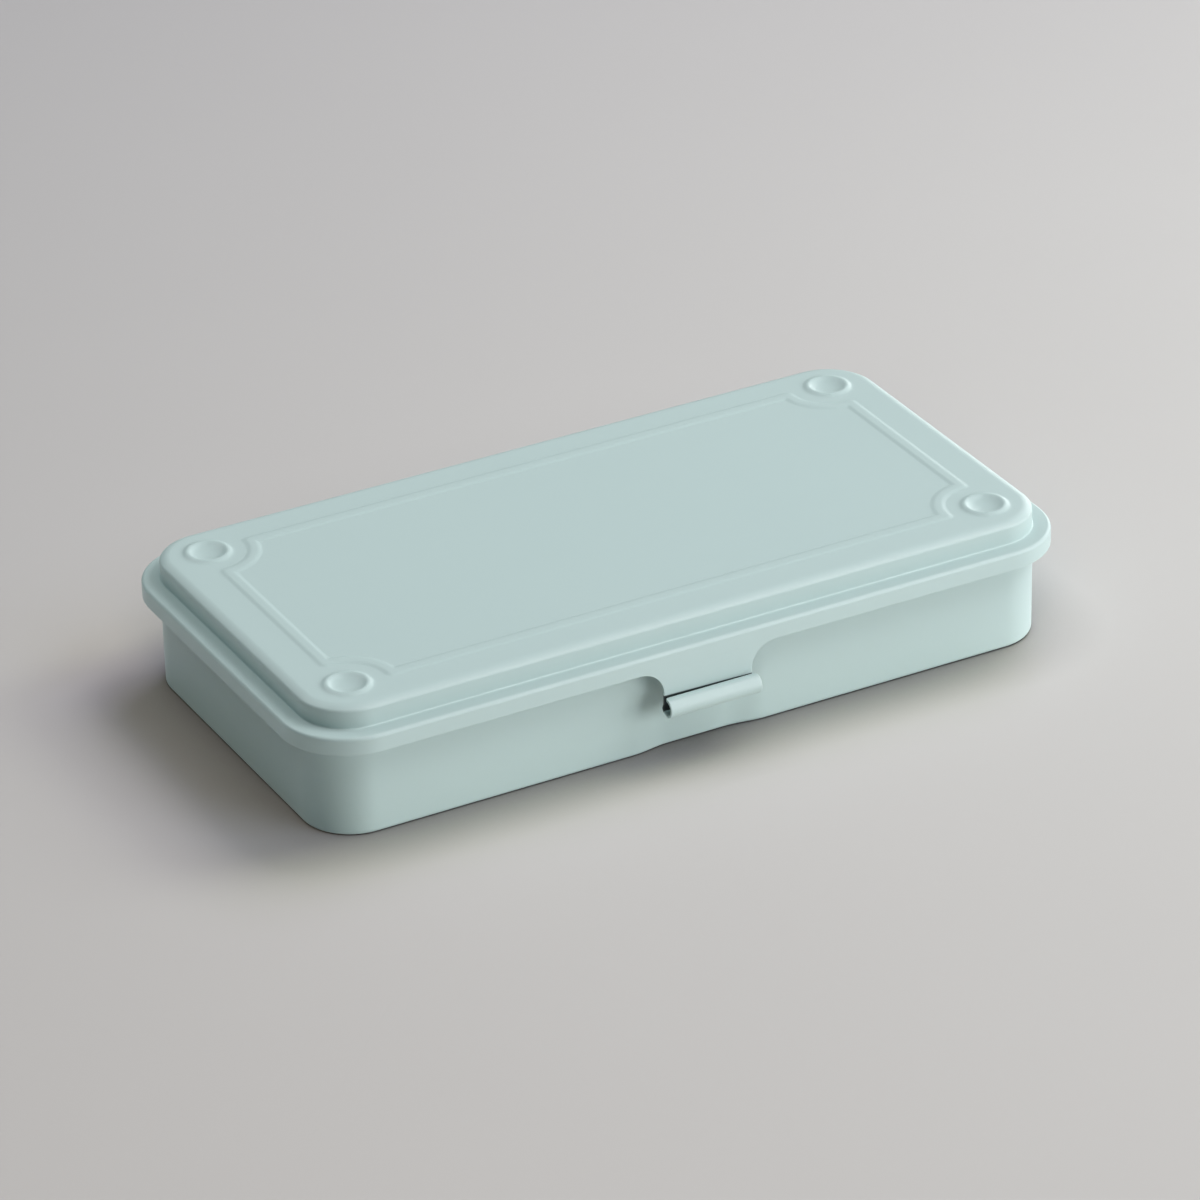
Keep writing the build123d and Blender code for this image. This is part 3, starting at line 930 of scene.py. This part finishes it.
def flare_heights(fillet, top, low, steps, run):
    """Heights down a flared tab: close together round the fillet, then about a run apart to its lower end."""
    turned = [top - fillet * (1 - math.cos(math.radians(90 * k / steps))) for k in range(steps + 1)]
    return np.array(turned + spaced(low, turned[-1], run)[-2::-1])


lug_z = flare_heights(LUG_FILLET, SKIRT_BOTTOM, AXIS_Z, LUG_STEPS, LUG_RUN)
lug_path, lug_ways = [(HALF_Y, z) for z in lug_z], [(-1, 0)] * len(lug_z)
lug_halves = flared_halves(LUG_HALF, LUG_FILLET, lug_z, SKIRT_BOTTOM)
for side in (-1, 1):
    add_strip(lid, side * LUG_CENTRE, lug_path, lug_ways, lug_halves)
lid_piece = lid.to_object("painted_lid", mint)
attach(lid_piece, "lid")
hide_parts("lid_pressing")
print("painted_lid:", len(lid_piece.data.vertices), "points,", len(lid_piece.data.polygons), "faces")

# %% [markdown]
# ## The latch tongue
#
# The tongue is the springy tab that keeps the lid shut. It flares out of the skirt through two round
# fillets, runs down flat, and ends in an outward roll, the finger grip, which is open and shows a dark,
# hollow C at its end. A low catch bead is pressed into it behind the roll. The real tab is one strip that
# is curled at its end, so one path carries it all the way.

# %% Weave the tongue
ROLL_RADIUS = 2.4
ROLL_Y, ROLL_Z = -HALF_Y + SHEET - ROLL_RADIUS, 14.6
ROLL_TURN, ROLL_STEPS = 300, 62
ROLL_HALF, WIDENING = 12.3, 0.8
CORNER_ROUND = 1.3
TAB_STEPS, TAB_RUN = 20, 0.25
CATCH_HALF, CATCH_END = 9.0, 1.0
CATCH_Z, CATCH_RISE = 15.5, 0.9
CATCH_REACH = 1.0
ON_ROLL = 1e-6

tab_z = flare_heights(TONGUE_FILLET, SKIRT_BOTTOM, ROLL_Z, TAB_STEPS, TAB_RUN)
tongue_path = [(-HALF_Y, z) for z in tab_z]
tongue_ways = [(1.0, 0.0)] * len(tab_z)
tongue_halves = list(flared_halves(TONGUE_HALF, TONGUE_FILLET, tab_z, SKIRT_BOTTOM))
bore, middle = ROLL_RADIUS - SHEET, ROLL_RADIUS - SHEET / 2
for k in range(1, ROLL_STEPS + 1):
    angle = -math.radians(ROLL_TURN * k / ROLL_STEPS)
    way = (math.cos(angle), math.sin(angle))
    along = -angle * middle
    left_over = math.radians(ROLL_TURN * (ROLL_STEPS - k) / ROLL_STEPS) * middle
    wider = TONGUE_HALF + (ROLL_HALF - TONGUE_HALF) * min(1.0, along / WIDENING)
    short = max(0.0, CORNER_ROUND - left_over)
    tongue_path.append((ROLL_Y + bore * way[0], ROLL_Z + bore * way[1]))
    tongue_ways.append(way)
    tongue_halves.append(wider - CORNER_ROUND + math.sqrt(CORNER_ROUND**2 - short**2))


def catch_press(across, point):
    """The catch bead, pressed inward behind the roll."""
    if point[0] < -HALF_Y - ON_ROLL:
        return 0.0
    along = np.clip((abs(across) - CATCH_HALF + CATCH_END) / CATCH_END, 0, 1)
    up = np.clip(abs(point[1] - CATCH_Z) / CATCH_RISE, 0, 1)
    return CATCH_REACH * float((1 - along**2) * (1 - up**2) ** 1.5)


tongue = Weave()
add_strip(tongue, 0.0, tongue_path, tongue_ways, tongue_halves, catch_press)
tongue_piece = tongue.to_object("painted_tongue", mint_tongue)
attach(tongue_piece, "latch")
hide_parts("latch_tongue")
print("painted_tongue:", len(tongue_piece.data.vertices), "points")

# %% [markdown]
# ## The tray
#
# The tray is drawn in one piece. Its wall rises from a soft base edge to a rim that is curled outward, so
# no sharp edge meets the fingers. The front wall has a shallow recess behind and below the tongue, wide
# enough for a fingertip, which runs down through the base edge. High in it, a small catch nose is pressed
# outward for the tongue. A boolean could cut the recess, but pressed sheet keeps its thickness, so both
# faces of the wall are shifted by the same amount.

# %% The tray's front: recess and nose
FLOOR_INSET, PRESS_FADE = 12.0, 2.5
RECESS_DEPTH = 1.2
RECESS_FLOOR_HALF, RECESS_RAMP = 7.65, 10.4
RECESS_TOP, RECESS_TOP_RAMP = 21.5, 7.0
NOSE_HALF, NOSE_END = 9.0, 1.2
NOSE_LOW, NOSE_HIGH = 17.3, 21.3
NOSE_RISE, NOSE_FALL = 0.8, 1.6
NOSE_REACH = 2.6


def eased(value):
    """A soft step from 0 to 1."""
    t = np.clip(value, 0, 1)
    return t * t * (3 - 2 * t)


def front_shift(x, z):
    """How far the front wall is pressed inward at a place. The nose goes outward, so it is below zero."""
    across = eased((RECESS_FLOOR_HALF + RECESS_RAMP - np.abs(x)) / RECESS_RAMP)
    up = eased((RECESS_TOP - z) / RECESS_TOP_RAMP)
    nose_up = eased((z - NOSE_LOW) / NOSE_RISE) * eased((NOSE_HIGH - z) / NOSE_FALL)
    nose = eased((NOSE_HALF - np.abs(x)) / NOSE_END) * nose_up
    return RECESS_DEPTH * across * up * (1 - nose) - NOSE_REACH * nose


def pressed_row(inset, height):
    """A row of the tray, pressed in or out at the front. On the base this fades out towards the middle."""
    points = ring_points(inset, height)
    share = float(np.clip((FLOOR_INSET - inset) / PRESS_FADE, 0, 1))
    points[:, 1] += np.where(sides == "front", front_shift(points[:, 0], points[:, 2]) * share, 0.0)
    return points


print("recess and nose at the middle, mm:", [round(float(front_shift(0.0, z)), 2) for z in (5.0, 16.2, 19.0)])

# %% [markdown]
# ## Rows of the tray
#
# The rows start on the inner floor, climb the inner wall, go round the curl, and come down the outer wall
# to the base. One weave for both faces leaves no seam at the rim. Rows are close together where the front
# is pressed.

# %% Weave the tray
BASE_ROUND, BASE_TURN = 1.2, 8.0
INNER_FLOOR_INSET, BEND_END = 9.5, 12.0
CURL_RADIUS, CURL_Z = 1.2, 26.4
CURL_FROM, CURL_TO = 168, -84
CURL_END = (0.08, 1.16), (0.14, 1.0), (0.14, 0.8), (0.08, 0.64)
curl_inset = WALL_INSET + SHEET - CURL_RADIUS
wall_steps = merged(spaced(3.0, 13.2, 1.7), spaced(13.2, 21.8, 0.3), [24.0, CURL_Z])


def wall_rows(inset, base_round, bottom):
    """Rows of one face of the tray going up: its base flat, its base edge and its wall."""
    bend = rounded_path([(FLOOR_INSET, bottom), (inset, bottom), (inset, BEND_END)], [base_round], BASE_TURN)
    flat = [(FLOOR_INSET, bottom), (INNER_FLOOR_INSET, bottom)]
    return [*flat, *bend[1:-1], *((inset, z) for z in wall_steps)]


def curl_rows(radius, angles):
    """Rows round the rim curl at one radius."""
    return [(curl_inset - radius * math.cos(t), CURL_Z + radius * math.sin(t)) for t in np.radians(angles)]


inner_rows = wall_rows(WALL_INSET + SHEET, BASE_ROUND - SHEET, SHEET)
outer_rows = wall_rows(WALL_INSET, BASE_ROUND, 0.0)[::-1]
tray = Weave()
numbers = [tray.add_points(pressed_row(*row)) for row in inner_rows]
for row in curl_rows(CURL_RADIUS, np.linspace(CURL_FROM, CURL_TO, 22)):
    numbers.append(tray.add_points(ring_points(*row)))
for inward, down in CURL_END:
    numbers.append(tray.add_points(ring_points(curl_inset + inward, CURL_Z - down), 1.0))
for row in curl_rows(CURL_RADIUS - SHEET, np.linspace(CURL_TO, CURL_FROM, 16)):
    numbers.append(tray.add_points(ring_points(*row)))
numbers += [tray.add_points(pressed_row(*row)) for row in outer_rows]
tray.join_rows(numbers)
print("tray has", len(numbers), "rows")

# %% [markdown]
# ## The base
#
# Boxes of this kind are made to stack. Four shallow pockets are pressed up into the base, right under the
# lid's bosses, so the bosses of the box below can nest in them. Seen from inside they are low round pads.
# One height function lifts both faces, as it does on the lid.

# %% Fill the floor and finish the tray
POCKET_PROFILE = np.array([(0.0, 1.0), (6.6, 1.0), (7.0, 0.97), (7.6, 0.5), (8.2, 0.03), (8.6, 0.0)])


def pocket_height(x, y):
    """How far the base is pressed up at a place."""
    return smooth_lookup(np.hypot(np.abs(x) - BOSS_X, np.abs(y) - BOSS_Y), POCKET_PROFILE)


pocket_rings = [2.5, 5.0, 6.3, 6.6, 6.8, 7.0, 7.2, 7.4, 7.6, 7.8, 8.0, 8.2, 8.4, 8.6, 9.0]
POCKET_STEP = 0.7
round_pockets = [
    rings_about(sx * BOSS_X, sy * BOSS_Y, pocket_rings, POCKET_STEP) for sx in (-1, 1) for sy in (-1, 1)
]
floor_places = gathered([
    (np.vstack(round_pockets), 0.0), (cross_grid(spaced(-90, 90, 10.0), spaced(-40, 40, 10.0)), 2.5),
])
fill_panel(tray, numbers[0], FLOOR_INSET, floor_places, lambda x, y: SHEET + pocket_height(x, y))
fill_panel(tray, numbers[-1], FLOOR_INSET, floor_places, pocket_height)
tray_piece = tray.to_object("painted_tray", mint_tray)
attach(tray_piece, "tray")
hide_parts("body_tray")
print("painted_tray:", len(tray_piece.data.vertices), "points,", len(tray_piece.data.polygons), "faces")

# %% [markdown]
# ## The hinges
#
# Each hinge is a small butt hinge: two leaves with knuckles that take turns along a pin. The solid leaves
# and pins of the frame are right as they are, so they stay, and only get the heavier coat of paint.

# %% Paint the hinges
for name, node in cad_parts.items():
    if "hinge" in name:
        node.data.materials.clear()
        node.data.materials.append(mint_heavy)
        print("painted", name)

# %% [markdown]
# ## The floor
#
# The box stands on a pale, smooth board that gets a little darker away from the light. The board is matt,
# with a faint unevenness that stops it from looking like an empty screen, and a painted contact shadow
# darkens it close to the box. A Light Path node shows that board to the camera alone. The box sees a
# plainer and paler one, which throws more light on its low faces.

# %% Lay the floor
BOARD_DARKER, BOARD_PALER = (0.548, 0.548, 0.548, 1.0), (0.560, 0.560, 0.560, 1.0)
BOUNCING_BOARD = (0.69, 0.69, 0.69, 1.0)
SPREAD = 6.0


def make_floor_material():
    """Pale matt board, with a painted contact shadow close to the box."""
    material, tree = new_material("pale_board")
    cloud = noise(tree, Scale=9.0, Detail=2.0)
    tooth = noise(tree, Scale=1500.0, Detail=2.0)
    # Painted contact shadow: ambient occlusion darkens the board within 20 mm of the box.
    near_box = add_node(
        tree, "ShaderNodeAmbientOcclusion", samples=16, Distance=20 * MM,
        Color=blend(tree, cloud, BOARD_DARKER, BOARD_PALER),
    )
    bump = add_node(tree, "ShaderNodeBump", Strength=0.3, Distance=0.02 * MM, Height=tooth)
    seen = add_node(tree, "ShaderNodeLightPath").outputs["Is Camera Ray"]
    bounce = add_node(tree, "ShaderNodeBsdfDiffuse", Color=BOUNCING_BOARD).outputs["BSDF"]
    surface = add_node(
        tree, "ShaderNodeBsdfPrincipled", Roughness=0.9, Specular_IOR_Level=0.2,
        Base_Color=near_box.outputs["Color"], Normal=bump.outputs["Normal"],
    ).outputs["BSDF"]
    either = add_node(tree, "ShaderNodeMixShader")
    for socket, part in zip(either.inputs, (seen, bounce, surface)):
        feed(tree, socket, part)
    add_node(tree, "ShaderNodeOutputMaterial", Surface=either.outputs["Shader"])
    return material


floor_mesh = bpy.data.meshes.new("floor")
corners = [(x * SPREAD, y * SPREAD, 0) for x, y in ((-1, -1), (1, -1), (1, 1), (-1, 1))]
floor_mesh.from_pydata(corners, [], [(0, 1, 2, 3)])
floor_mesh.materials.append(make_floor_material())
floor = bpy.data.objects.new("floor", floor_mesh)
bpy.context.scene.collection.objects.link(floor)
print("floor laid,", 2 * SPREAD, "m across")

# %% [markdown]
# ## The light
#
# In the photograph the light is soft. It comes mostly from the picture's right and from behind, so the left
# end of the box and the floor beside it are in shade, and no shadow has a hard edge. One picture of a
# studio round the scene could light it, but separate lights can be weighed one by one, so each light here
# is a broad area light. Those for the box and those for the floor are set apart, as a photographer does
# with flags, so that the box can be lit from the front without washing out its shadow.

# %% Helper: a soft light
def soft_light(name, azimuth, elevation, distance, size, strength, receivers):
    """A square area light that faces the box, in the direction that the angles give."""
    way = direction(azimuth, elevation)
    light = bpy.data.objects.new(name, bpy.data.lights.new(name, "AREA"))
    bpy.context.scene.collection.objects.link(light)
    light.data.size = size
    light.data.energy = max(strength)
    light.data.color = [part / max(strength) for part in strength]
    light.location = way * distance
    light.rotation_euler = way.to_track_quat("Z", "Y").to_euler()
    light.light_linking.receiver_collection = receivers


def lit_together(name, pieces):
    """A group of pieces that share their lights."""
    group = bpy.data.collections.new(name)
    for piece in pieces:
        group.objects.link(piece)
    return group


box_pieces = lit_together("lit_box", [o for o in bpy.data.objects if o.type == "MESH" and o is not floor])
floor_pieces = lit_together("lit_floor", [floor])

# %% [markdown]
# ## Setting the lights
#
# Strengths are in watts of red, green and blue, so the slight colour of each source is in them too. All but
# the last stand equally far away and are equally broad, so one table holds them and shows their balance.

# %% Set the lights
FAR_OFF, BROAD = 1.6, 0.9
CLOSE, SMALL = 0.8, 0.3
SURROUND_COLOR, SURROUND_STRENGTH = (0.51, 0.96, 1.0, 1.0), 0.068

for name, azimuth, elevation, strength, receivers in (
    ("front_low", 30, 10, (12.3, 12.1, 12.0), box_pieces),
    ("right_low", 60, 10, (8.0, 7.8, 7.9), box_pieces),
    ("right_high", 60, 52, (14.3, 14.0, 14.3), box_pieces),
    ("rear_right_low", 120, 10, (10.0, 10.0, 10.0), box_pieces),
    ("rear", 160, 30, (1.3, 1.3, 1.3), box_pieces),
    ("rear_left", -150, 52, (7.4, 7.6, 7.6), box_pieces),
    ("above", 0, 74, (3.4, 2.9, 2.8), box_pieces),
    ("floor_right", 90, 52, (5.8, 5.5, 2.2), floor_pieces),
    ("floor_rear", 120, 52, (10.0, 9.2, 12.2), floor_pieces),
    ("floor_left", -30, 40, (10.2, 8.5, 7.2), floor_pieces),
    ("floor_front", 30, 40, (4.7, 5.4, 6.9), floor_pieces),
):
    soft_light(name, azimuth, elevation, FAR_OFF, BROAD, strength, receivers)
soft_light("floor_near", 80, 40, CLOSE, SMALL, (1.78, 1.85, 1.7), floor_pieces)

world = bpy.data.worlds.new("dim_surround")
world.use_nodes = True
surround = world.node_tree.nodes["Background"].inputs
surround["Color"].default_value = SURROUND_COLOR
surround["Strength"].default_value = SURROUND_STRENGTH
bpy.context.scene.world = world
